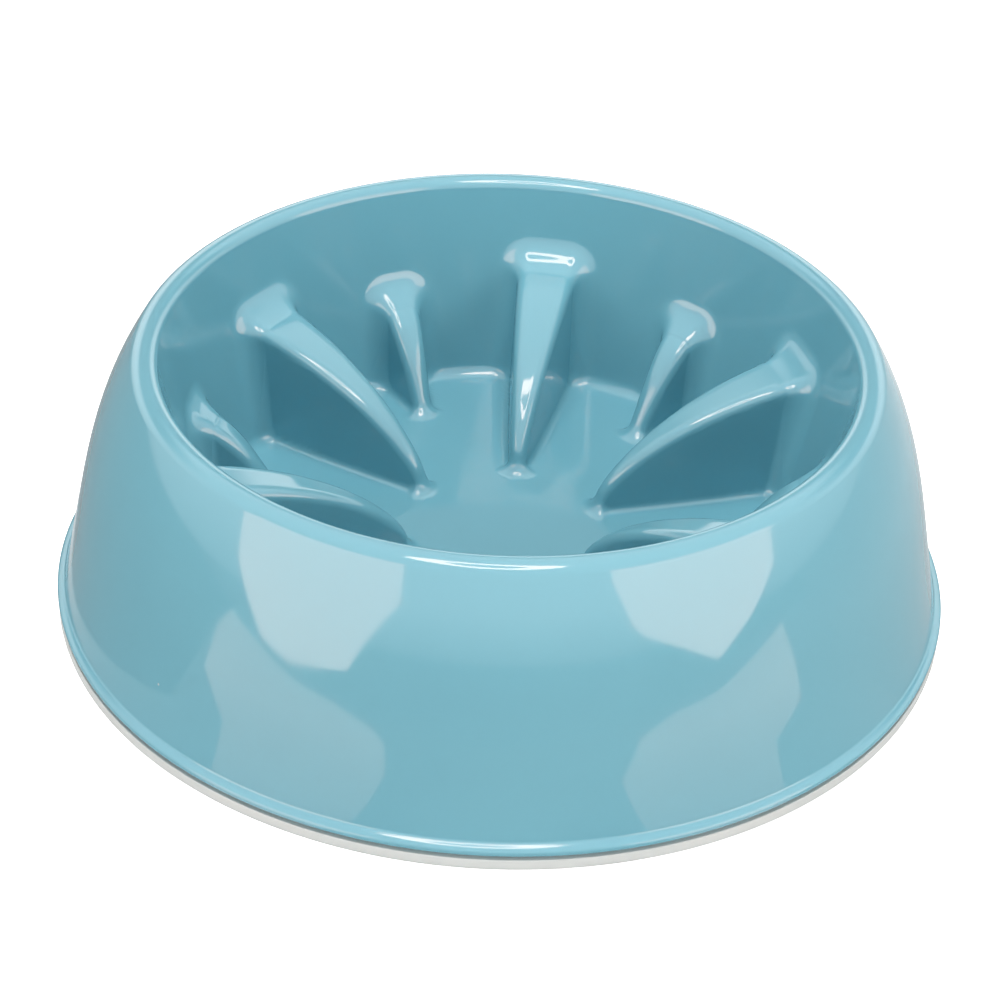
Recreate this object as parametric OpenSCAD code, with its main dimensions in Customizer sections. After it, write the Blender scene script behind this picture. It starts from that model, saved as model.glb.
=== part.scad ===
// Slow feeder bowl for a pet: a one-piece bowl with radial ribs in its basin, on a soft grip ring.
// Millimetres, +Z up. The origin is the middle of the foot, on the surface that the bowl stands on.

/* [Bowl] */
// Outer diameter over the bead at the foot
bead_dia = 230; // [214:1:270]
// Diameter of the circle along the top of the rim
rim_dia = 181.2; // [164:0.1:196]
// Height from the surface that the bowl stands on to the top of the rim
bowl_h = 72.2; // [67:0.1:100]
// Wall thickness of the moulding
wall_t = 2.2; // [1.6:0.1:2.8]
// Slope of the skirt from upright where it leaves the bead
skirt_foot_slope = 13.5; // [4:0.5:20]
// Slope of the skirt from upright where it turns into the rim
skirt_top_slope = 31; // [20:0.5:45]
// Radius of the rim on its outer side
rim_outer_r = 4.8; // [3.4:0.1:6.5]
// Radius of the rim on its inner side
rim_inner_r = 3; // [2.9:0.1:5]

/* [Foot] */
// Radius of the rounded top of the bead
bead_top_r = 4; // [2.5:0.1:6]
// Radius of the outer edge of the bead
bead_edge_r = 1.1; // [0.8:0.1:1.6]
// Height of the middle of that edge above the grip ring
bead_edge_h = 1.9; // [1.7:0.1:3]
// Radius of the fillet between the bead and the skirt
bead_fillet_r = 1; // [0.5:0.1:2]
// How far the foot is set in below the bead
foot_inset = 2; // [1.4:0.1:3]
// Width of the flat land under the foot
foot_w = 4.8; // [4:0.1:6]
// Height of the thick foot above the grip ring
foot_h = 5.4; // [4:0.1:9]

/* [Basin] */
// Height of the basin floor above the surface that the bowl stands on
floor_h = 18; // [12:0.5:22]
// Slope of the basin wall from upright
basin_slope = 14; // [6:0.5:18]
// Radius of the fillet between the basin wall and floor
basin_fillet_r = 4.2; // [3:0.1:12]

/* [Ribs] */
// Number of large ribs, with a small rib halfway between each two
rib_pairs = 6; // [4:1:7]
// Angle from +X to the first large rib
rib_turn = 23.1; // [0:0.1:60]
// Radius of the rounded edges along a rib
rib_edge_r = 2.4; // [0.8:0.1:3]
// Radius of the fillet where a rib meets the floor
rib_fillet_r = 4.2; // [2.5:0.1:5]
// Radius of the flare where a rib meets the wall
rib_flare_r = 6.6; // [5:0.1:7.5]
// Draft of the flanks of a rib
rib_draft = 1.5; // [0.5:0.1:2.5]

/* [Large ribs] */
// Height of a large rib above the floor at the wall
large_h = 32.5; // [24:0.5:36]
// Distance from the axis of the bowl to the tip of a large rib
large_tip_r = 25.5; // [20:0.5:34]
// Width of a large rib at the wall
large_w = 16.6; // [12:0.2:19]
// Width of a large rib near its tip
large_tip_w = 4.6; // [4:0.1:7]

/* [Small ribs] */
// Height of a small rib above the floor at the wall
small_h = 25; // [18:0.5:30]
// Distance from the axis of the bowl to the tip of a small rib
small_tip_r = 56; // [50:0.5:62]
// Width of a small rib at the wall
small_w = 10.4; // [9:0.2:12]
// Width of a small rib near its tip
small_tip_w = 5.2; // [4.6:0.1:7]

/* [Grip ring] */
// Height of the grip ring below the bowl
ring_h = 3; // [2:0.1:4]
// How far the grip ring is set in from the bead
ring_inset = 0.2; // [0:0.1:1]
// Radius of the lower outer edge of the grip ring
ring_edge_r = 0.5; // [0.3:0.1:1.5]
// Width of the tongue that holds the ring in the foot
tongue_w = 1.6; // [1:0.1:2]
// Height of the tongue
tongue_h = 2.4; // [1.5:0.1:3]
// Clearance round the tongue in its groove
tongue_gap = 0.1; // [0.05:0.05:0.2]

/* [Hidden] */

// Steps along an arc of an outline, and along a short one
arc_steps = 12;
short_steps = 4;
// Steps along the skirt
skirt_steps = 18;
// How far a cut runs past what it cuts
overrun = 1;
// Curve of the crest from the tip to the wall: under 1 it stays high, over 1 it falls early
large_curve_share = 0.72;
small_curve_share = 1.15;
// Stations along a rib from its tip to the wall, closer together where it curves
station_shares = [0.004, 0.03, 0.08, 0.17, 0.3, 0.46, 0.62, 0.74, 0.82, 0.88, 0.93, 0.965, 0.99, 1];
hollow_shares = [0, 0.15, 0.35, 0.6, 0.8, 1];
// Levels up the fillet of a rib, from a little under the floor
fillet_shares = [-0.04, 0.1, 0.38, 1];
// How deep the foot of a rib sits in the wall, and where its end is buried
sunk_share = 0.5;
end_sunk_share = 0.3;
// Least half width of the hollow under a rib, by the wall thickness
hollow_least_share = 0.25;
// How the half width of a rib grows from tip to wall
taper_curve_share = 1.15;
// Most that an edge's radius takes of a rib's half width and height
edge_w_share = 0.8;
edge_h_share = 0.5;
// Most that the fillet takes of a rib's height below its edge
reach_share = 0.95;

// Directions where the top of the bead starts and meets the edge, and where the edge ends
bead_top_a = 66;
bead_edge_a = 45;
bead_end_a = -80;

foot_out_r = bead_dia / 2 - foot_inset;
foot_in_r = foot_out_r - foot_w;
tongue_c_r = foot_out_r - foot_w / 2;
rim_r = rim_dia / 2;
bead_edge_c = [bead_dia / 2 - bead_edge_r, ring_h + bead_edge_h];
bead_top_c = bead_edge_c - (bead_top_r - bead_edge_r) * [cos(bead_edge_a), sin(bead_edge_a)];
bead_fillet_c = bead_top_c + (bead_top_r + bead_fillet_r) * [cos(bead_top_a), sin(bead_top_a)];

// Skirt, a curve between two points with a slope at each
skirt_a = bead_fillet_c - bead_fillet_r * [cos(skirt_foot_slope), sin(skirt_foot_slope)];
skirt_b = [rim_r + rim_outer_r * cos(skirt_top_slope),
    bowl_h - rim_outer_r * (1 - sin(skirt_top_slope))];
skirt_rise = skirt_b.y - skirt_a.y;
function skirt_x(t) = skirt_a.x * (2 * t ^ 3 - 3 * t ^ 2 + 1) + skirt_b.x * (3 * t ^ 2 - 2 * t ^ 3)
    - skirt_rise * tan(skirt_foot_slope) * (t ^ 3 - 2 * t ^ 2 + t)
    - skirt_rise * tan(skirt_top_slope) * (t ^ 3 - t ^ 2);
function skirt_dx(t) = (skirt_b.x - skirt_a.x) * 6 * (t - t ^ 2)
    - skirt_rise * tan(skirt_foot_slope) * (3 * t ^ 2 - 4 * t + 1)
    - skirt_rise * tan(skirt_top_slope) * (3 * t ^ 2 - 2 * t);
function skirt_point(t, off) =
    let (n = [skirt_rise, -skirt_dx(t)] / norm([skirt_rise, skirt_dx(t)]))
    [skirt_x(t), skirt_a.y + skirt_rise * t] - off * n;

// Basin surface: floor, fillet and sloping wall, each moved outward by off
wall_top = [rim_r - rim_inner_r * cos(basin_slope),
    bowl_h - rim_inner_r * (1 - sin(basin_slope))];
fillet_c_z = floor_h + basin_fillet_r;
fillet_c_r = wall_top.x - (wall_top.y - fillet_c_z) * tan(basin_slope)
    - basin_fillet_r / cos(basin_slope);
function fillet_end_r(off) = fillet_c_r + (basin_fillet_r + off) * cos(basin_slope);
function fillet_end_z(off) = fillet_c_z - (basin_fillet_r + off) * sin(basin_slope);
function basin_z(r, off) = r <= fillet_c_r ? floor_h - off
    : r < fillet_end_r(off) ? fillet_c_z - sqrt((basin_fillet_r + off) ^ 2 - (r - fillet_c_r) ^ 2)
    : fillet_end_z(off) + (r - fillet_end_r(off)) / tan(basin_slope);
function basin_r(z, off) = z >= fillet_end_z(off)
    ? fillet_end_r(off) + (z - fillet_end_z(off)) * tan(basin_slope)
    : fillet_c_r + sqrt(max(0, (basin_fillet_r + off) ^ 2 - (fillet_c_z - z) ^ 2));
// Upward share of the basin's surface normal above radius r
function basin_up(r) = r <= fillet_c_r ? 1
    : max(sin(basin_slope), sqrt(max(0, 1 - ((r - fillet_c_r) / basin_fillet_r) ^ 2)));

// Points along an arc from angle a0 to a1
function arc(c, r, a0, a1, n = arc_steps) =
    [for (i = [0:n]) let (a = a0 + (a1 - a0) * i / n) c + r * [cos(a), sin(a)]];
function after_first(points) = [for (i = [1:len(points) - 1]) points[i]];

// One side of the wall from the foot over the rim and down to the axis
function wall_side(off) = concat(
    [for (i = [0:skirt_steps]) skirt_point(i / skirt_steps, off)],
    arc([rim_r, bowl_h - rim_outer_r], rim_outer_r - off, skirt_top_slope, 90),
    arc([rim_r, bowl_h - rim_inner_r], rim_inner_r - off, 90, 180 - basin_slope),
    arc([fillet_c_r, fillet_c_z], basin_fillet_r + off, -basin_slope, -90),
    [[0, floor_h - off]]);

foot_top_z = ring_h + foot_h;
outside = wall_side(0);
inside = wall_side(wall_t);
bowl_outline = concat(
    [[foot_out_r, ring_h], [foot_out_r, bead_edge_c.y + bead_edge_r * sin(bead_end_a)]],
    arc(bead_edge_c, bead_edge_r, bead_end_a, bead_edge_a),
    after_first(arc(bead_top_c, bead_top_r, bead_edge_a, bead_top_a, short_steps)),
    after_first(arc(bead_fillet_c, bead_fillet_r, 180 + bead_top_a, 180 + skirt_foot_slope, short_steps)),
    after_first(outside),
    [for (i = [len(inside) - 1:-1:0])
        if (i > skirt_steps || inside[i].y > foot_top_z + wall_t) inside[i]],
    [[foot_in_r, foot_top_z], [foot_in_r, ring_h]]);

// A rib is [height, tip radius, half width at the wall, half width at the tip, curve]
large_rib = [large_h, large_tip_r, large_w / 2, large_tip_w / 2, large_curve_share];
small_rib = [small_h, small_tip_r, small_w / 2, small_tip_w / 2, small_curve_share];
function rib_wall_r(rib) = basin_r(floor_h + rib[0], 0);
// Share of the way from the wall back to the tip
function rib_u(rib, r) = max(0, min(1, (rib_wall_r(rib) - r) / (rib_wall_r(rib) - rib[1])));
function rib_crest(rib, r) = floor_h + rib[0] * (1 - rib_u(rib, r) ^ 2) ^ rib[4];
function rib_half(rib, r) =
    let (w = rib[2] + (rib[3] - rib[2]) * rib_u(rib, r) ^ taper_curve_share,
        n = min(1, (r - rib[1]) / w))
    w * sqrt(max(0, n * (2 - n)));
// Rise or spread of a fillet of radius f at distance d from the surface that it runs into
function fillet(d, f) = d >= f ? 0 : f - sqrt(f ^ 2 - (f - max(0, d)) ^ 2);
// Radius of a rib's fillet, which grows from the floor to the wall
function join_r(r) = rib_fillet_r + (rib_flare_r - rib_fillet_r)
    * max(0, min(1, (r - fillet_c_r) / (basin_fillet_r * cos(basin_slope))));
// Distance of a point in the basin from its wall or floor
function basin_gap(r, z) = min(z - floor_h, (basin_r(z, 0) - r) * cos(basin_slope),
    r > fillet_c_r && z < fillet_c_z
    ? basin_fillet_r - norm([r - fillet_c_r, z - fillet_c_z]) : basin_fillet_r);
function rib_top(rib, r) = rib_crest(rib, r)
    + fillet((rib_wall_r(rib) - r) * cos(basin_slope), rib_flare_r);

// Half section of a rib above radius r, from its buried foot up to the edge of its crest
function rib_section(rib, r) =
    let (zs = basin_z(r, 0), zt = max(rib_top(rib, r), zs), h = zt - zs, w = rib_half(rib, r),
        e = min(rib_edge_r, h * edge_h_share, w * edge_w_share),
        f = join_r(r), reach = min(f / basin_up(r), (h - e) * reach_share))
    concat(
        [[w + f * min(1, h / f) + h * tan(rib_draft), basin_z(r, wall_t * sunk_share)]],
        [for (s = fillet_shares) let (z = zs + reach * s)
            [w + (zt - z) * tan(rib_draft) + fillet(basin_gap(r, z), f) * min(1, h / f), z]],
        [for (a = [0, 45, 90])
            [w - e * (1 - cos(a)) + e * tan(rib_draft) * (1 - sin(a)), zt - e * (1 - sin(a))]]);

// A closed solid through sections with the same number of points, mirrored to both sides
module loft(stations, halves) {
    n = len(halves[0]);
    m = len(stations);
    points = [for (i = [0:m - 1]) each concat(
        [for (p = halves[i]) [stations[i], p.x, p.y]],
        [for (j = [n - 1:-1:0]) [stations[i], -halves[i][j].x, halves[i][j].y]])];
    sides = [for (i = [0:m - 2], j = [0:2 * n - 1]) let (a = i * 2 * n + j, b = i * 2 * n + (j + 1) % (2 * n))
        each [[a, b + 2 * n, b], [a, a + 2 * n, b + 2 * n]]];
    cap = [for (j = [0:n - 2]) each [[j, j + 1, 2 * n - 2 - j], [j, 2 * n - 2 - j, 2 * n - 1 - j]]];
    last = (m - 1) * 2 * n;
    polyhedron(points, concat(sides, cap, [for (f = cap) [last + f[2], last + f[1], last + f[0]]]));
}

module rib(shape) {
    r0 = shape[1];
    r1 = basin_r(floor_h + shape[0] + rib_flare_r, wall_t * end_sunk_share);
    stations = [for (s = station_shares) r0 + (r1 - r0) * s];
    loft(stations, [for (r = stations) rib_section(shape, r)]);
}

// Half section of the hollow under a rib
function hollow_section(rib, r) =
    let (zt = rib_crest(rib, r) - wall_t, zb = floor_h - wall_t - overrun, w = rib_half(rib, r) - wall_t,
        e = w * edge_w_share)
    concat(
        [[w + (zt - zb) * tan(rib_draft), zb]],
        [for (a = [0, 45, 90])
            [w - e * (1 - cos(a)) + e * tan(rib_draft) * (1 - sin(a)), zt - e * (1 - sin(a))]]);

module rib_hollow(shape) {
    need = wall_t * (1 + hollow_least_share);
    u = min(1, max(0, (shape[2] - need) / (shape[2] - shape[3]))) ^ (1 / taper_curve_share);
    r0 = rib_wall_r(shape) - (rib_wall_r(shape) - shape[1]) * min(u, reach_share);
    r1 = basin_r(floor_h + shape[0], wall_t) + overrun;
    stations = [for (s = hollow_shares) r0 + (r1 - r0) * s];
    loft(stations, [for (r = stations) hollow_section(shape, r)]);
}

module around() {
    for (i = [0:rib_pairs - 1]) rotate([0, 0, rib_turn + i * 360 / rib_pairs]) children();
}

module small_turn() {
    rotate([0, 0, 180 / rib_pairs]) children();
}

module bowl() {
    color("#78B4C3") difference() {
        union() {
            rotate_extrude($fn = 180) polygon(bowl_outline);
            around() rib(large_rib);
            around() small_turn() rib(small_rib);
        }
        around() rib_hollow(large_rib);
        around() small_turn() rib_hollow(small_rib);
        rotate_extrude($fn = 180) translate([tongue_c_r - tongue_w / 2 - tongue_gap, ring_h - overrun])
            square([tongue_w + 2 * tongue_gap, tongue_h + tongue_gap + overrun]);
    }
}

module grip_ring() {
    out_r = bead_dia / 2 - ring_inset;
    color("#DCDEDC") union() {
        rotate_extrude($fn = 180) polygon(concat(
            arc([out_r - ring_edge_r, ring_edge_r], ring_edge_r, -90, 0),
            [[out_r, ring_h], [foot_in_r, ring_h]],
            arc([foot_in_r + ring_edge_r, ring_edge_r], ring_edge_r, 180, 270)));
        rotate_extrude($fn = 180) translate([tongue_c_r - tongue_w / 2, ring_h - ring_edge_r])
            square([tongue_w, tongue_h + ring_edge_r]);
    }
}

bowl();
grip_ring();
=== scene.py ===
"""Looks for the slow feeder bowl: the moulding, its soft grip ring, the lamps and the camera.

The bowl is one closed skin. Its rows run from the middle of the basin out over the ribs and the
wall, over the rim, down the skirt and the bead, under the foot, and back under the basin to the
middle.
"""

import math

import bpy
import numpy as np
from mathutils import Matrix, Vector


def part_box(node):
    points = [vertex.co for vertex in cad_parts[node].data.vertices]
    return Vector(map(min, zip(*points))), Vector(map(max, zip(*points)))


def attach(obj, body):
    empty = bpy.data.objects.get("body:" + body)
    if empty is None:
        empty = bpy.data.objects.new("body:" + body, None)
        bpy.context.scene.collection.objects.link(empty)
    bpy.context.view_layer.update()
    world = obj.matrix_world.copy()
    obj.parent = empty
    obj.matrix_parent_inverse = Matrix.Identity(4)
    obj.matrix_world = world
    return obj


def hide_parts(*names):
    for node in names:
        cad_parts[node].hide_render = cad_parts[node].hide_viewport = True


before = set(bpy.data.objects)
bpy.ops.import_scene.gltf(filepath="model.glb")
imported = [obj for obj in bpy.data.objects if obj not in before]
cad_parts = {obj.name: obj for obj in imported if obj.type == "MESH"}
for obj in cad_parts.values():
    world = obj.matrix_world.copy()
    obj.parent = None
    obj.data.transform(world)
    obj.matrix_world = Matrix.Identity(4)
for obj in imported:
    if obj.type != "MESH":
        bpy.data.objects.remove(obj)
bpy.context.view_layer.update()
BOWL_LO, BOWL_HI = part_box("bowl")

# ------------------------------------------------ sizes, in metres and degrees
BEAD_OUT_R = min(-BOWL_LO.x, BOWL_HI.x, -BOWL_LO.y, BOWL_HI.y)
TOP_Z = BOWL_HI.z
WALL_T = 0.0022

RIM_R = 0.0906
RIM_OUTER_R = 0.0048
RIM_INNER_R = 0.0030
SKIRT_TOP_SLOPE = 31
SKIRT_FOOT_SLOPE = 13.5

BEAD_FILLET_R = 0.0010
BEAD_TOP_R = 0.0040
BEAD_EDGE_R = 0.0011
BEAD_EDGE_Z = 0.0049
BEAD_TOP_ANGLE, BEAD_EDGE_ANGLE, BEAD_END_ANGLE = 66, 45, -80

FOOT_IN_R = 0.1082
FOOT_STEP_R = 0.1130
FOOT_TOP_Z = 0.0084
FOOT_CORNER_R = 0.0004
FOOT_TOP_ANGLE = -230

FLOOR_Z = 0.018
BASIN_SLOPE = 14
BASIN_FILLET_R = 0.0042

RIB_PAIRS = 6
RIB_TURN = 23.1
RIB_FILLET_R = 0.0042
RIB_FLARE_R = 0.0066
RIB_FOOT_R = 0.0018
TIP_REACH = 0.0045
RIB_DRAFT = 1.5
TAPER_CURVE = 1.15
EDGE_SHARE = 0.9
# the crest follows its curve between these shares of the rib's length, and runs straight past them
CREST_FROM, CREST_TO = 1e-6, 0.985
HOLLOW_FILLET_R = 0.0010

RING_H = 0.003
RING_INSET = 0.0002
RING_OUT_R = BEAD_OUT_R - RING_INSET
RING_EDGE_R = 0.0005


class Rib:
    """A rib: its height over the floor, tip radius, widths, edge radius and crest curve.

    At a share of the way to the tip the crest is at height * (1 - share**start) ** curve.
    """

    def __init__(self, height, tip_r, wall_w, tip_w, edge_r, start, curve):
        self.height, self.tip_r, self.edge_r = height, tip_r, edge_r
        self.start, self.curve = start, curve
        self.wall_half, self.tip_half = wall_w / 2, tip_w / 2
        self.wall_r = basin_r(FLOOR_Z + height)


# ------------------------------------------------ the basin and its ribs as distances
SIN, COS, TAN = (f(math.radians(BASIN_SLOPE)) for f in (math.sin, math.cos, math.tan))
WALL_TOP_R = RIM_R - RIM_INNER_R * COS
WALL_TOP_Z = TOP_Z - RIM_INNER_R * (1 - SIN)
FILLET_Z = FLOOR_Z + BASIN_FILLET_R
FILLET_R = WALL_TOP_R - (WALL_TOP_Z - FILLET_Z) * TAN - BASIN_FILLET_R / COS


def basin_r(z, out=0.0):
    """Radius of the basin's surface at height z, moved outward by out."""
    radius = BASIN_FILLET_R + out
    curved = FILLET_R + np.sqrt(np.maximum(0, radius**2 - (FILLET_Z - z) ** 2))
    straight = FILLET_R + radius / COS + (z - FILLET_Z) * TAN
    return np.where(z >= FILLET_Z - radius * SIN, straight, curved)


def basin_gap(r, z, out=0.0):
    """Distance from the basin's surface moved outward by out, positive in the basin."""
    radius = BASIN_FILLET_R + out
    dr, dz = r - FILLET_R, z - FILLET_Z
    flat = np.minimum(dz + radius, radius - dr * COS + dz * SIN)
    in_fillet = (dr > 0) & (dr * SIN + dz * COS < 0)
    return np.where(in_fillet, radius - np.hypot(dr, dz), flat)


def rib_gap(rib, x, y, z, thin=0.0):
    """Distance from a rib along +X, positive outside, with its walls moved inward by thin."""
    length = rib.wall_r - rib.tip_r
    nose_x = rib.tip_r + rib.tip_half
    u = np.clip((rib.wall_r - x) / length, CREST_FROM, CREST_TO)
    x_held = rib.wall_r - u * length
    fall = 1 - u**rib.start
    lift = rib.height * fall**rib.curve
    slope = (
        rib.height * rib.curve * fall ** (rib.curve - 1)
        * rib.start * u ** (rib.start - 1) / length
    )
    crest = FLOOR_Z + lift + slope * (np.minimum(x, rib.wall_r) - x_held)
    taper = np.clip((rib.wall_r - x) / (rib.wall_r - nose_x), 0, 1) ** TAPER_CURVE
    half = rib.wall_half + (rib.tip_half - rib.wall_half) * taper
    side = np.where(x < nose_x, np.hypot(x - nose_x, y) - rib.tip_half, np.abs(y) - half)
    side = side + thin - (crest - z) * math.tan(math.radians(RIB_DRAFT))
    top = (z - crest) / np.sqrt(1 + slope**2) + thin
    edge = np.clip(np.minimum(rib.edge_r, (half - thin) * EDGE_SHARE), 0, None)
    a, b = side + edge, top + edge
    return np.hypot(np.maximum(a, 0), np.maximum(b, 0)) + np.minimum(np.maximum(a, b), 0) - edge


def joined(a, b, radius):
    """Distance from two solids joined with a fillet."""
    return np.maximum(radius, np.minimum(a, b)) - np.hypot(
        np.maximum(radius - a, 0), np.maximum(radius - b, 0)
    )


LARGE = Rib(
    height=0.0325, tip_r=0.0255, wall_w=0.0166, tip_w=0.0042, edge_r=0.0026, start=1.6, curve=0.59
)
SMALL = Rib(
    height=0.0250, tip_r=0.0560, wall_w=0.0104, tip_w=0.0048, edge_r=0.0026, start=2.0, curve=1.15
)
HALF_PITCH = math.pi / RIB_PAIRS


def skin_gap(r, turn, z, under):
    """Distance from the basin's skin at angle turn from a large rib, or from its underside."""
    thin = WALL_T if under else 0.0
    at_wall = np.clip((r - FILLET_R) / (BASIN_FILLET_R * COS), 0, 1)
    gap = basin_gap(r, z, thin)
    for rib, at in ((LARGE, 0.0), (SMALL, HALF_PITCH)):
        x, y = r * np.cos(turn - at), r * np.sin(turn - at)
        from_tip = np.clip((x - rib.tip_r) / TIP_REACH, 0, 1)
        foot = RIB_FILLET_R + (RIB_FOOT_R - RIB_FILLET_R) * from_tip**2 * (3 - 2 * from_tip)
        radius = HOLLOW_FILLET_R if under else foot + (RIB_FLARE_R - foot) * at_wall
        gap = joined(gap, rib_gap(rib, x, y, z, thin), radius)
    return gap


# ------------------------------------------------ rows of the skin
# columns from a large rib to a small one, samples that they are spread over, halvings of a height
COLUMNS = 48
FINE = 1400
HALVINGS = 24
ROW_STEP = 0.0014
TIP_STEP = 0.0007
FILLET_STEP = 0.0006
MIDDLE_R = 0.004
ROW_SAMPLES = 6000
PROBE = 1e-5
RIM_STEPS, RIM_INNER_STEPS, SKIRT_STEPS, HIDDEN_STEPS = 14, 12, 44, 30
EDGE_STEPS, SHORT_STEPS, TINY_STEPS, CORNER_STEPS = 14, 8, 6, 4


def row_radii(out):
    """Radii of the basin's rows, closer where the skin climbs or a rib starts."""
    top = WALL_TOP_R - (RIM_INNER_R - out) * COS + RIM_INNER_R * COS
    r = np.linspace(MIDDLE_R, top, ROW_SAMPLES)
    radius = BASIN_FILLET_R + out
    curved = FILLET_Z - np.sqrt(np.maximum(0, radius**2 - np.maximum(0, r - FILLET_R) ** 2))
    straight = WALL_TOP_Z + (r - top) / TAN
    z = np.where(r < FILLET_R + radius * COS, curved, straight)
    near_tip = [
        np.exp(-(((r - rib.tip_r - TIP_REACH / 2) / TIP_REACH) ** 2)) for rib in (LARGE, SMALL)
    ]
    near_fillet = np.exp(-(((r - FILLET_R - BASIN_FILLET_R / 2) / BASIN_FILLET_R) ** 2))
    step = ROW_STEP - (ROW_STEP - TIP_STEP) * np.maximum(*near_tip)
    step = step - (step - FILLET_STEP) * near_fillet
    length = np.hypot(np.gradient(r), np.gradient(z)) / step
    along = np.concatenate([[0], np.cumsum((length[1:] + length[:-1]) / 2)])
    return np.interp(np.linspace(0, along[-1], int(along[-1]) + 1), along, r)


def heights(r, turn, under):
    """Height of the skin over each point, found by halving."""
    low = np.full(r.shape, FLOOR_Z - 2 * WALL_T)
    high = np.full(r.shape, TOP_Z)
    for _ in range(HALVINGS):
        mid = (low + high) / 2
        free = skin_gap(r, turn, mid, under) > 0
        high, low = np.where(free, mid, high), np.where(free, low, mid)
    return (low + high) / 2


def basin_rows(under):
    """Points and normals of the basin's rows, with columns spread evenly along each row."""
    radii = row_radii(WALL_T if under else 0.0)
    turn = np.linspace(0, HALF_PITCH, FINE)
    r, turn = np.meshgrid(radii, turn, indexing="ij")
    z = heights(r, turn, under)
    length = np.hypot(np.diff(r * turn, axis=1), np.diff(z, axis=1))
    along = np.concatenate([np.zeros((len(radii), 1)), np.cumsum(length, axis=1)], axis=1)
    share = np.linspace(0, 1, COLUMNS + 1)
    t = np.array([np.interp(share * a[-1], a, row) for a, row in zip(along, turn)])
    r = np.repeat(radii[:, None], COLUMNS + 1, axis=1)
    z = np.array([np.interp(tt, row, zz) for tt, row, zz in zip(t, turn, z)])
    slope = [
        skin_gap(r + PROBE, t, z, under) - skin_gap(r - PROBE, t, z, under),
        skin_gap(r, t + PROBE / r, z, under) - skin_gap(r, t - PROBE / r, z, under),
        skin_gap(r, t, z + PROBE, under) - skin_gap(r, t, z - PROBE, under),
    ]
    normal = np.stack(slope, axis=-1)
    normal /= np.linalg.norm(normal, axis=-1, keepdims=True)
    return all_round(r, t, z, -normal if under else normal)


def all_round(r, t, z, normal):
    """The 30 degrees from a large to a small rib, turned and mirrored into whole rows."""
    points, normals = [], []
    for i in range(2 * RIB_PAIRS):
        flip = i % 2 == 1
        order = slice(COLUMNS, 0, -1) if flip else slice(0, COLUMNS)
        sign = -1 if flip else 1
        start = math.radians(RIB_TURN) + (i + flip) * HALF_PITCH
        turn = start + sign * t[:, order]
        cos, sin = np.cos(turn), np.sin(turn)
        points.append(np.stack([r[:, order] * cos, r[:, order] * sin, z[:, order]], axis=-1))
        n_r, n_t, n_z = (normal[:, order, k] for k in range(3))
        n_t = sign * n_t
        normals.append(np.stack([n_r * cos - n_t * sin, n_r * sin + n_t * cos, n_z], axis=-1))
    return np.concatenate(points, axis=1), np.concatenate(normals, axis=1)


def arc(centre, radius, start, end, steps, hollow=False):
    """Rows of (r, z, normal r, normal z) along an arc of the outline.

    On a hollow arc the normals point at its centre.
    """
    a = np.radians(np.linspace(start, end, steps))
    n = np.stack([np.cos(a), np.sin(a)], axis=1)
    return np.hstack([np.array(centre) + radius * n, -n if hollow else n])


def corner(point, radius, start, end):
    """A small rounded corner whose arc starts and ends at the given normals."""
    half = math.radians((end - start) / 2)
    middle = math.radians((start + end) / 2)
    reach = radius / math.cos(half)
    centre = np.array(point) - reach * np.array([math.cos(middle), math.sin(middle)])
    return arc(centre, radius, start, end, CORNER_STEPS)


def bead():
    """Rows from the foot of the skirt over the bead to its underside."""
    edge_c = np.array([BEAD_OUT_R - BEAD_EDGE_R, BEAD_EDGE_Z])
    edge = arc(edge_c, BEAD_EDGE_R, BEAD_EDGE_ANGLE, BEAD_END_ANGLE, EDGE_STEPS)
    top_c = edge_c - (BEAD_TOP_R - BEAD_EDGE_R) * edge[0, 2:]
    top = arc(top_c, BEAD_TOP_R, BEAD_TOP_ANGLE, BEAD_EDGE_ANGLE, TINY_STEPS)
    fillet_c = top[0, :2] + BEAD_FILLET_R * top[0, 2:]
    start, end = 180 + SKIRT_FOOT_SLOPE, 180 + BEAD_TOP_ANGLE
    fillet = arc(fillet_c, BEAD_FILLET_R, start, end, SHORT_STEPS, hollow=True)
    return np.vstack([fillet, top[1:], edge[1:]])


def skirt(steps, inset=0.0):
    """Rows down the skirt, a curve with a set slope at each end, moved inward by inset."""
    top = arc((RIM_R, TOP_Z - RIM_OUTER_R), RIM_OUTER_R, SKIRT_TOP_SLOPE, SKIRT_TOP_SLOPE, 1)[0]
    foot = bead()[0, :2]
    rise = top[1] - foot[1]
    t = np.linspace(1, 0, steps)
    slopes = [math.tan(math.radians(s)) for s in (SKIRT_FOOT_SLOPE, SKIRT_TOP_SLOPE)]
    r = (
        foot[0] * (2 * t**3 - 3 * t**2 + 1)
        + top[0] * (3 * t**2 - 2 * t**3)
        - rise * slopes[0] * (t**3 - 2 * t**2 + t)
        - rise * slopes[1] * (t**3 - t**2)
    )
    dr = (
        (top[0] - foot[0]) * 6 * (t - t**2)
        - rise * slopes[0] * (3 * t**2 - 4 * t + 1)
        - rise * slopes[1] * (3 * t**2 - 2 * t)
    )
    n = np.stack([np.full(steps, rise), -dr], axis=1)
    n /= np.linalg.norm(n, axis=1, keepdims=True)
    p = np.stack([r, foot[1] + rise * t], axis=1) - inset * n
    return np.hstack([p, n])


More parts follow.
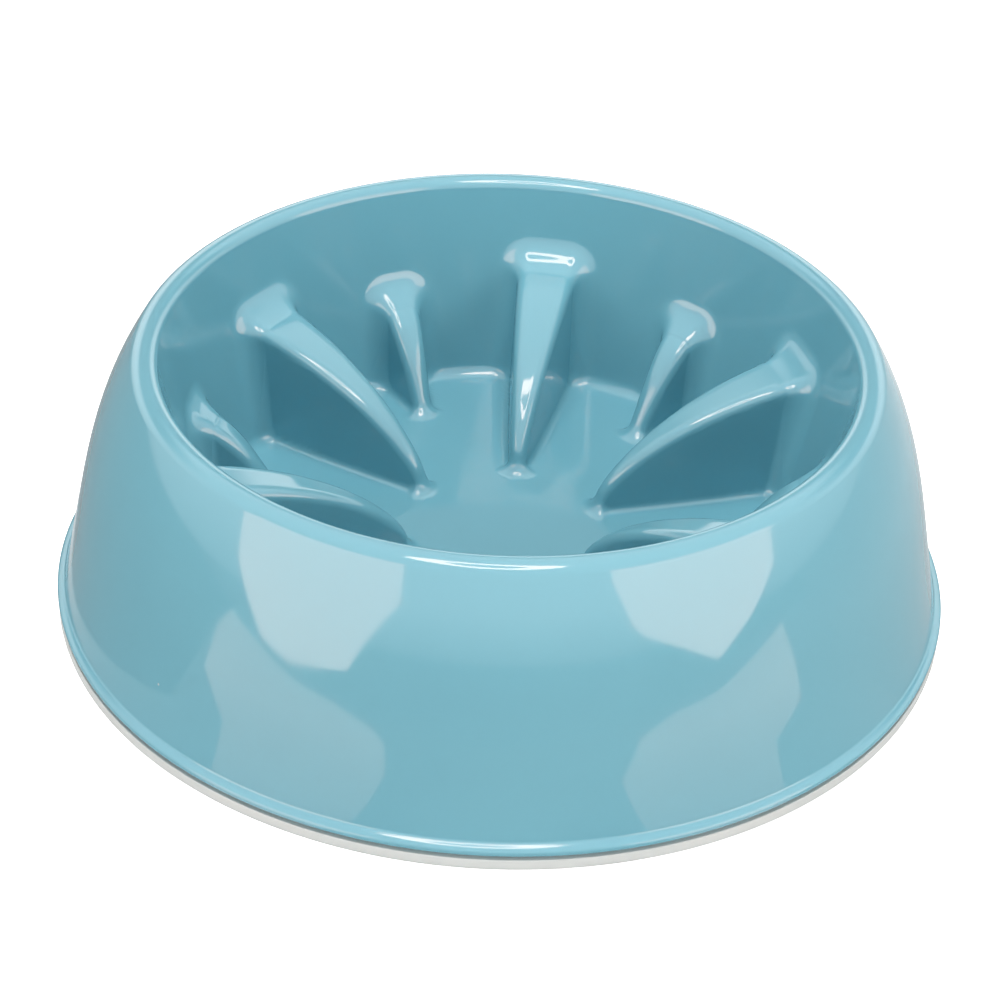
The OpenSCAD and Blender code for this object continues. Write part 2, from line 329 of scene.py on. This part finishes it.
def outline():
    """Rows from the top of the basin wall over the rim, down the skirt and up inside it."""
    outer_c, inner_c = (RIM_R, TOP_Z - RIM_OUTER_R), (RIM_R, TOP_Z - RIM_INNER_R)
    inner_top = arc(outer_c, RIM_OUTER_R - WALL_T, SKIRT_TOP_SLOPE, 90, SHORT_STEPS)
    inner_wall = arc(inner_c, RIM_INNER_R - WALL_T, 90, 180 - BASIN_SLOPE, TINY_STEPS)
    inside = skirt(HIDDEN_STEPS, WALL_T)[::-1]
    inside = inside[inside[:, 1] > FOOT_TOP_Z + 2 * WALL_T]
    hidden = np.vstack([inside, inner_top[1:], inner_wall[1:]])
    hidden[:, 2:] *= -1
    return np.vstack([
        arc(inner_c, RIM_INNER_R, 180 - BASIN_SLOPE, 90, RIM_INNER_STEPS)[1:],
        arc(outer_c, RIM_OUTER_R, 90, SKIRT_TOP_SLOPE, RIM_STEPS)[1:],
        skirt(SKIRT_STEPS)[1:-1],
        bead(),
        corner((FOOT_STEP_R, BEAD_EDGE_Z - BEAD_EDGE_R), -FOOT_CORNER_R, -90, 0),
        corner((FOOT_STEP_R, RING_H), FOOT_CORNER_R, 0, -90),
        corner((FOOT_IN_R, RING_H), FOOT_CORNER_R, -90, -180),
        corner((FOOT_IN_R, FOOT_TOP_Z), FOOT_CORNER_R, -180, FOOT_TOP_ANGLE),
        hidden[:-1],
    ])


def lathe(rows, turn):
    """Points and normals of an outline's rows at the given angles."""
    cos, sin = np.cos(turn), np.sin(turn)
    one = np.ones_like(turn)
    r, z, n_r, n_z = (np.asarray(rows)[:, k, None] for k in range(4))
    return (
        np.stack([r * cos, r * sin, z * one], axis=-1),
        np.stack([n_r * cos, n_r * sin, n_z * one], axis=-1),
    )


def skin(name, parts, middle_top=None, middle_under=None, closed=False):
    """A smooth mesh from rows of points and normals, with a middle point at an end if given.

    Closed joins the last row to the first.
    """
    points = np.concatenate([p for p, _ in parts])
    normals = np.concatenate([n for _, n in parts])
    rows, cols = points.shape[:2]
    index = np.arange(rows * cols).reshape(rows, cols)
    here = np.vstack([index, index[:1]]) if closed else index
    right = np.roll(here, -1, axis=1)
    faces = np.stack([here[:-1], here[1:], right[1:], right[:-1]], axis=-1)
    faces = faces.reshape(-1, 4).tolist()
    points, normals = points.reshape(-1, 3), normals.reshape(-1, 3)
    for z, row, up in ((middle_top, 0, 1), (middle_under, -1, -1)):
        if z is not None:
            points = np.vstack([points, [[0, 0, z]]])
            normals = np.vstack([normals, [[0, 0, up]]])
            last = len(points) - 1
            pairs = zip(index[row], np.roll(index[row], -1))
            faces += [[last, a, b] if up > 0 else [last, b, a] for a, b in pairs]
    mesh = bpy.data.meshes.new(name)
    mesh.from_pydata(points.tolist(), [], faces)
    mesh.shade_smooth()
    mesh.normals_split_custom_set_from_vertices(normals.tolist())
    obj = bpy.data.objects.new(name, mesh)
    bpy.context.scene.collection.objects.link(obj)
    return obj


def make_bowl():
    """The moulding: the basin's rows, the outline's and the underside's in one skin."""
    top, under = basin_rows(False), basin_rows(True)
    turn = np.arctan2(top[0][-1, :, 1], top[0][-1, :, 0])
    under = tuple(part[::-1] for part in under)
    side = lathe(outline(), turn)
    return skin("bowl_moulding", [top, side, under], FLOOR_Z, FLOOR_Z - WALL_T)


def make_ring():
    """The soft ring, a band with rounded edges. The tongue that holds it is hidden and left out."""
    turn = np.linspace(0, 2 * math.pi, 2 * RIB_PAIRS * COLUMNS, endpoint=False)
    inner, outer = FOOT_IN_R, RING_OUT_R
    rows = np.vstack([
        corner((outer, RING_H), RING_EDGE_R / 2, 90, 0),
        corner((outer, 0), RING_EDGE_R, 0, -90),
        corner((inner, 0), RING_EDGE_R, -90, -180),
        corner((inner, RING_H), RING_EDGE_R / 2, 180, 90),
    ])
    return skin("grip_ring_soft", [lathe(rows, turn)], closed=True)


bowl = make_bowl()
ring = make_ring()


# ------------------------------------------------ materials
class Nodes:
    """A short way to write the nodes of a material or of the world."""

    def __init__(self, owner):
        owner.use_nodes = True
        self.tree = owner.node_tree
        self.tree.nodes.clear()

    def add(self, kind, **values):
        node = self.tree.nodes.new("ShaderNode" + kind)
        for key, value in values.items():
            if key in node.inputs:
                node.inputs[key].default_value = value
            else:
                setattr(node, key, value)
        return node

    def link(self, out, node, socket):
        self.tree.links.new(out, node.inputs[socket])

    def noise(self, where, scale, detail):
        node = self.add("TexNoise", Scale=scale, Detail=detail)
        self.link(where, node, "Vector")
        return node.outputs["Fac"]

    def spread(self, value, low, high, to_low=0.0, to_high=1.0):
        node = self.add("MapRange")
        self.link(value, node, "Value")
        sockets = "From Min", "From Max", "To Min", "To Max"
        for socket, number in zip(sockets, (low, high, to_low, to_high)):
            node.inputs[socket].default_value = number
        return node.outputs["Result"]

    def put(self, value, node, socket):
        """Links a socket, or sets a plain value."""
        if isinstance(value, bpy.types.NodeSocket):
            self.link(value, node, socket)
        else:
            node.inputs[socket].default_value = value

    def math(self, kind, a, b):
        node = self.add("Math", operation=kind)
        self.put(a, node, 0)
        self.put(b, node, 1)
        return node.outputs[0]

    def mix(self, share, a, b):
        """A colour between a and b, which a colour mix has in sockets 6 and 7."""
        node = self.add("Mix", data_type="RGBA")
        self.link(share, node, "Factor")
        self.put(a, node, 6)
        self.put(b, node, 7)
        return node.outputs[2]

    def bump(self, height, depth, under=None):
        node = self.add("Bump", Distance=depth, Strength=1.0)
        self.link(height, node, "Height")
        if under is not None:
            self.link(under, node, "Normal")
        return node.outputs["Normal"]

    def surface(self, colour, rough, normal, ior):
        body = self.add("BsdfPrincipled", IOR=ior)
        self.link(colour, body, "Base Color")
        self.link(rough, body, "Roughness")
        self.link(normal, body, "Normal")
        self.link(body.outputs["BSDF"], self.add("OutputMaterial"), "Surface")


PLASTIC = (0.153, 0.380, 0.456, 1)
PLASTIC_DEEP = (0.143, 0.364, 0.441, 1)
RUBBER = (0.61, 0.62, 0.60, 1)
RUBBER_DARKER = (0.53, 0.54, 0.52, 1)
DUST = (0.45, 0.5, 0.5, 1)
# scales of the textures, in repeats a metre, and depths of the bumps, in metres
MOTTLE_SCALE, WAVE_SCALE, PEEL_SCALE, DUST_SCALE = 14, 26, 420, 210
BLOTCH_SCALE, GRAIN_SCALE = 45, 1600
PLASTIC_ROUGH_SCALE, RUBBER_ROUGH_SCALE = 60, 300
WAVE_DEPTH, PEEL_DEPTH, GRAIN_DEPTH = 0.00012, 0.000002, 0.00002
# which stretch of each texture is spread over its whole effect
MOTTLE_RANGE, BLOTCH_RANGE, ROUGH_RANGE = (0.35, 0.65), (0.35, 0.7), (0.3, 0.7)
SPECK_RANGE, RARE_RANGE = (0.05, 0.09), (0.985, 0.99)
PLASTIC_ROUGH, RUBBER_ROUGH = (0.055, 0.095), (0.48, 0.62)
DUST_ROUGH = 0.2
PLASTIC_IOR, RUBBER_IOR = 1.5, 1.45
LOW_BAND_H = 0.0012


def gloss_plastic():
    """Glossy moulded plastic: a faint flow mottle, slight sink waves and a few dust specks."""
    material = bpy.data.materials.new("gloss_plastic")
    n = Nodes(material)
    where = n.add("TexCoord").outputs["Object"]
    mottle = n.noise(where, MOTTLE_SCALE, detail=3)
    colour = n.mix(n.spread(mottle, *MOTTLE_RANGE), PLASTIC_DEEP, PLASTIC)
    waves = n.bump(n.noise(where, WAVE_SCALE, detail=1), WAVE_DEPTH)
    peel = n.bump(n.noise(where, PEEL_SCALE, detail=2), PEEL_DEPTH, under=waves)
    dust_cells = n.add("TexVoronoi", Scale=DUST_SCALE)
    n.link(where, dust_cells, "Vector")
    near = n.spread(dust_cells.outputs["Distance"], *SPECK_RANGE, 1, 0)
    cell = n.add("SeparateColor")
    n.link(dust_cells.outputs["Color"], cell, "Color")
    rare = n.spread(cell.outputs["Red"], *RARE_RANGE)
    dust = n.math("MULTIPLY", near, rare)
    colour = n.mix(dust, colour, DUST)
    spots = n.noise(where, PLASTIC_ROUGH_SCALE, detail=2)
    rough = n.spread(spots, *ROUGH_RANGE, *PLASTIC_ROUGH)
    rough = n.math("ADD", rough, n.math("MULTIPLY", dust, DUST_ROUGH))
    n.surface(colour, rough, peel, PLASTIC_IOR)
    return material


def grip_rubber():
    """Soft grey rubber with a fine grain, darker in blotches along its lowest edge, where it stands
    on the table.
    """
    material = bpy.data.materials.new("grip_rubber")
    n = Nodes(material)
    where = n.add("TexCoord").outputs["Object"]
    split = n.add("SeparateXYZ")
    n.link(where, split, "Vector")
    # the lowest band, next to the table, is made darker in blotches
    low = n.spread(split.outputs["Z"], 0.0, LOW_BAND_H, 1, 0)
    blotch = n.spread(n.noise(where, BLOTCH_SCALE, detail=3), *BLOTCH_RANGE)
    blotch = n.math("MULTIPLY", low, blotch)
    colour = n.mix(blotch, RUBBER, RUBBER_DARKER)
    grain = n.bump(n.noise(where, GRAIN_SCALE, detail=3), GRAIN_DEPTH)
    spots = n.noise(where, RUBBER_ROUGH_SCALE, detail=2)
    rough = n.spread(spots, *ROUGH_RANGE, *RUBBER_ROUGH)
    n.surface(colour, rough, grain, RUBBER_IOR)
    return material


plastic, rubber = gloss_plastic(), grip_rubber()
for obj, node, finish, slot in (
    (bowl, "bowl", plastic, "bowl_plastic"),
    (ring, "grip_ring", rubber, "grip_rubber"),
):
    obj.data.materials.append(finish)
    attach(obj, "root")
    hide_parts(node)
    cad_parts[node].data.materials.clear()
    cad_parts[node].data.materials.append(finish)


# ------------------------------------------------ floor, lamps and camera
FLOOR_HALF = 3.0
FLOOR_COLOUR = (0.80, 0.80, 0.80, 1)
FLOOR_SEEN = 0.80
CAMERA_BACK, CAMERA_UP = 0.69314, 0.49669
CAMERA_TILT, CAMERA_PAN, CAMERA_ROLL = 34.148, -0.0691, 2.3498
CAMERA_LENS, SENSOR = 116.85, 36.0

WORLD_UP, WORLD_DOWN, WORLD_BLEND, WORLD_SEEN = 0.26, 0.22, 0.3, 1.0
TOP_LAMP_AT, TOP_LAMP_SIZE, TOP_LAMP_GLOW = (0.0, -0.12, 1.07), (0.48, 0.66), 13.8
BOX_BACK = 0.90
BOX_GLOW, BOX_SHOWN, BOX_TINT = 3.1, 6.6, (1.0, 0.76, 0.67, 1)
# the soft boxes: the direction each stands in, and its corners sideways and up from the table
BOX_LEFT = -140, [
    (-0.41, 0.38), (-0.37, 0.62), (0.38, 0.66), (0.435, 0.28), (0.30, 0.03), (0.245, -0.085),
    (-0.03, -0.14), (-0.11, -0.113), (-0.30, 0.114),
]
BOX_RIGHT = -37, [
    (-0.39, 0.41), (-0.36, 0.70), (0.42, 0.72), (0.48, 0.55), (0.325, 0.147), (0.175, 0.015),
    (0.008, -0.085), (-0.037, -0.06), (-0.28, 0.092), (-0.333, 0.154),
]
RING_LAMP_AT, RING_LAMP_R, RING_LAMP_HOLE_R = (-0.04, -0.26, 0.96), 0.225, 0.11
RING_LAMP_GLOW, RING_LAMP_SHOWN = 2.0, 18.0
ROUND_STEPS = 48
# the tent: its radius, how bright it shows low and high, and the share of it where that changes
TENT_R, TENT_LOW, TENT_HIGH, TENT_RISE = 2.6, 1.4, 2.6, 0.25
TENT_TOP_ANGLE, TENT_ROWS = 86, 14
# the grey band at its back: brightness, lower and upper edge and softness as shares of its radius
BACKDROP_SHOWN, BACKDROP_LOW, BACKDROP_HIGH, BACKDROP_SOFT = 0.7, 0.42, 0.66, 0.04
BACKDROP_BACK = 0.2, 0.5
# sheets over the table that paint its reflection in the gloss: how high the first lies, and each
# next one's step as a share
PATCH_UP, PATCH_STEP = 0.001, 0.1
# each sheet's level at the bowl and farther out, the radius there, and its corners
NEAR_FLOOR = 0.75, 1.0, 0.30, [(-0.42, -0.21), (0.42, -0.21), (0.42, 0.50), (-0.42, 0.50)]
SHADE_LEFT = 0.4, 0.4, 0.30, [
    (-0.12, -0.08), (-0.27, -0.14), (-0.39, -0.21), (-1.6, -0.21), (-1.6, 1.0), (-0.12, 0.6),
]
PALE_RIGHT = 0.6, 0.95, 0.20, [(0.11, -0.045), (0.42, -0.10), (1.6, -0.21), (1.6, 1.0), (0.11, 0.6)]
PATCH_LEFT = 1.6, 3.0, 0.19, [
    (-0.36, -0.19), (-0.16, -0.187), (-0.12, -0.199), (-0.08, -0.194), (-0.063, -0.182),
    (-0.05, -0.16), (-0.04, -0.09), (-0.075, -0.094), (-0.112, -0.107), (-0.15, -0.101),
    (-0.233, -0.13),
]
PATCH_RIGHT = 1.6, 3.0, 0.19, [
    (0.36, -0.155), (0.184, -0.10), (0.14, -0.09), (0.113, -0.101), (0.075, -0.09),
    (0.04, -0.09), (0.06, -0.155), (0.075, -0.165), (0.09, -0.18), (0.131, -0.187),
    (0.166, -0.17),
]


def seen_straight(n):
    """1 for a ray from the camera, off a gloss or through a clear surface, 0 for the others."""
    rays = n.add("LightPath").outputs
    off_gloss = n.math("MAXIMUM", rays["Is Camera Ray"], rays["Is Glossy Ray"])
    return n.math("MAXIMUM", off_gloss, rays["Is Transmission Ray"])


def pick_by_ray(n, lighting, mirrored):
    """One shader for the rays that light things, another for those that see the surface."""
    pick = n.add("MixShader")
    n.link(seen_straight(n), pick, 0)
    n.link(lighting.outputs[0], pick, 1)
    n.link(mirrored.outputs[0], pick, 2)
    n.link(pick.outputs[0], n.add("OutputMaterial"), "Surface")


def glow(name, lit, shown, tint):
    """A lamp's face: how much it lights things, and how bright and how warm it shows in a gloss."""
    material = bpy.data.materials.new(name)
    n = Nodes(material)
    pick_by_ray(n, n.add("Emission", Strength=lit), n.add("Emission", Strength=shown, Color=tint))
    return material


def tent_glow():
    """The cloth of a light tent: brighter higher up, with a grey band at the back."""
    material = bpy.data.materials.new("tent")
    n = Nodes(material)
    split = n.add("SeparateXYZ")
    n.link(n.add("TexCoord").outputs["Object"], split, "Vector")
    up = n.math("DIVIDE", split.outputs["Z"], TENT_R)
    back = n.math("DIVIDE", split.outputs["Y"], TENT_R)
    level = n.spread(up, 0, TENT_RISE, TENT_LOW, TENT_HIGH)
    over = n.spread(up, BACKDROP_LOW - BACKDROP_SOFT, BACKDROP_LOW + BACKDROP_SOFT)
    under = n.spread(up, BACKDROP_HIGH - BACKDROP_SOFT, BACKDROP_HIGH + BACKDROP_SOFT, 1, 0)
    band = n.math("MULTIPLY", n.math("MULTIPLY", over, under), n.spread(back, *BACKDROP_BACK))
    drop = n.math("MULTIPLY", band, n.math("SUBTRACT", level, BACKDROP_SHOWN))
    light = n.add("Emission")
    n.link(n.math("SUBTRACT", level, drop), light, "Strength")
    n.link(light.outputs[0], n.add("OutputMaterial"), "Surface")
    return material


def table_glow(name, near, far, far_r, tint):
    """A painted reflection of the table for the gloss: one level at the bowl, and another farther
    out.
    """
    material = bpy.data.materials.new(name)
    n = Nodes(material)
    distance = n.add("VectorMath", operation="LENGTH")
    n.link(n.add("TexCoord").outputs["Object"], distance, 0)
    light = n.add("Emission", Color=tint)
    n.link(n.spread(distance.outputs["Value"], BEAD_OUT_R, far_r, near, far), light, "Strength")
    n.link(light.outputs[0], n.add("OutputMaterial"), "Surface")
    return material


def white_floor():
    """A white table: the camera sees it as white with the object's shadow on it."""
    material = bpy.data.materials.new("white_floor")
    n = Nodes(material)
    matt = n.add("BsdfDiffuse", Color=FLOOR_COLOUR)
    both = n.add("AddShader")
    n.link(matt.outputs[0], both, 0)
    n.link(n.add("Emission", Strength=FLOOR_SEEN).outputs[0], both, 1)
    pick_by_ray(n, matt, both)
    return material


def sheet(name, points, finish, faces=None):
    """A flat piece of the stage: one face through all its points, unless faces are given."""
    mesh = bpy.data.meshes.new(name)
    mesh.from_pydata(points, [], faces or [list(range(len(points)))])
    mesh.materials.append(finish)
    obj = bpy.data.objects.new(name, mesh)
    bpy.context.scene.collection.objects.link(obj)
    return obj


def lamp_face(name, points, finish, faces=None):
    """A sheet that lights the bowl and shows in its gloss, out of the camera's sight."""
    sheet(name, points, finish, faces).visible_camera = False


def soft_box(name, turn, corners):
    """An upright soft box that faces the bowl."""
    a = math.radians(turn)
    out = Vector((math.cos(a), math.sin(a), 0))
    along = Vector((-math.sin(a), math.cos(a), 0))
    points = [out * BOX_BACK + along * s + Vector((0, 0, v)) for s, v in corners]
    lamp_face(name, points, glow(name, BOX_GLOW, BOX_SHOWN, BOX_TINT))


def ring_lamp():
    """A ring lamp above the front of the bowl, which gives the small glints."""
    at = Vector(RING_LAMP_AT)
    facing = at.to_track_quat("Z", "Y")
    steps = ROUND_STEPS
    turns = [2 * math.pi * i / steps for i in range(steps)]
    points = [
        at + facing @ Vector((radius * math.cos(a), radius * math.sin(a), 0))
        for radius in (RING_LAMP_R, RING_LAMP_HOLE_R)
        for a in turns
    ]
    pairs = [(i, (i + 1) % steps) for i in range(steps)]
    faces = [[i, j, steps + j, steps + i] for i, j in pairs]
    finish = glow("ring_lamp", RING_LAMP_GLOW, RING_LAMP_SHOWN, BOX_TINT)
    lamp_face("ring_lamp", points, finish, faces)


def tent():
    """A light tent over it all, seen only in the gloss."""
    turn = np.linspace(0, 2 * math.pi, ROUND_STEPS, endpoint=False)
    rows = arc((0, 0), TENT_R, TENT_TOP_ANGLE, 0, TENT_ROWS)
    obj = skin("tent", [lathe(rows, turn)], TENT_R)
    obj.data.materials.append(tent_glow())
    only_in_gloss(obj)


def only_in_gloss(obj):
    """Leaves a piece of the stage to the gloss alone, and keeps it from lighting the bowl."""
    obj.visible_camera = obj.visible_diffuse = obj.visible_shadow = False
    obj.active_material.cycles.emission_sampling = "NONE"


def lamps():
    """The lamps, the tent, and the sheets that stand for the table in the gloss."""
    data = bpy.data.lights.new("top_lamp", "AREA")
    data.shape = "RECTANGLE"
    data.size, data.size_y = TOP_LAMP_SIZE
    data.energy = TOP_LAMP_GLOW * math.pi * data.size * data.size_y
    lamp = bpy.data.objects.new("top_lamp", data)
    lamp.location = TOP_LAMP_AT
    lamp.visible_glossy = False
    bpy.context.scene.collection.objects.link(lamp)
    soft_box("box_left", *BOX_LEFT)
    soft_box("box_right", *BOX_RIGHT)
    ring_lamp()
    tent()
    # these sheets are painted reflections of the table: warm lit patches like the soft boxes'
    # light, and painted shade close to the bowl and to the left
    for i, (name, (near, far, far_r, corners), tint) in enumerate((
        ("near_floor", NEAR_FLOOR, (1, 1, 1, 1)),
        ("shade_left", SHADE_LEFT, (1, 1, 1, 1)),
        ("pale_right", PALE_RIGHT, (1, 1, 1, 1)),
        ("patch_left", PATCH_LEFT, BOX_TINT),
        ("patch_right", PATCH_RIGHT, BOX_TINT),
    )):
        points = [(x, y, PATCH_UP * (1 + PATCH_STEP * i)) for x, y in corners]
        only_in_gloss(sheet(name, points, table_glow(name, near, far, far_r, tint)))


def surroundings():
    """A pale room: white to the camera, softer to the rest, and a little darker from below."""
    world = bpy.data.worlds.new("room")
    bpy.context.scene.world = world
    n = Nodes(world)
    split = n.add("SeparateXYZ")
    n.link(n.add("TexCoord").outputs["Generated"], split, 0)
    level = n.spread(split.outputs["Z"], -WORLD_BLEND, WORLD_BLEND, WORLD_DOWN, WORLD_UP)
    pick = n.add("Mix")
    n.link(seen_straight(n), pick, "Factor")
    # a plain mix has its two values in sockets 2 and 3
    n.link(level, pick, 2)
    pick.inputs[3].default_value = WORLD_SEEN
    back = n.add("Background")
    n.link(pick.outputs[0], back, "Strength")
    n.link(back.outputs[0], n.add("OutputWorld"), "Surface")


def camera():
    """The camera that was fitted to the photo."""
    tilt, pan, roll = (math.radians(a) for a in (CAMERA_TILT, CAMERA_PAN, CAMERA_ROLL))
    level_look = math.cos(tilt)
    look = Vector((math.sin(pan) * level_look, math.cos(pan) * level_look, -math.sin(tilt)))
    level = look.cross(Vector((0, 0, 1))).normalized()
    up = level.cross(look)
    right = level * math.cos(roll) + up * math.sin(roll)
    up = up * math.cos(roll) - level * math.sin(roll)
    data = bpy.data.cameras.new("camera")
    data.lens, data.sensor_width = CAMERA_LENS, SENSOR
    obj = bpy.data.objects.new("camera", data)
    bpy.context.scene.collection.objects.link(obj)
    turned = Matrix((right, up, -look)).transposed().to_4x4()
    obj.matrix_world = Matrix.Translation((0, -CAMERA_BACK, CAMERA_UP)) @ turned
    bpy.context.scene.camera = obj


FLOOR_CORNERS = [
    (-FLOOR_HALF, -FLOOR_HALF, 0), (FLOOR_HALF, -FLOOR_HALF, 0),
    (FLOOR_HALF, FLOOR_HALF, 0), (-FLOOR_HALF, FLOOR_HALF, 0),
]
floor = sheet("floor", FLOOR_CORNERS, white_floor())
floor.visible_glossy = False
lamps()
surroundings()
camera()
bpy.context.scene.view_settings.view_transform = "Standard"
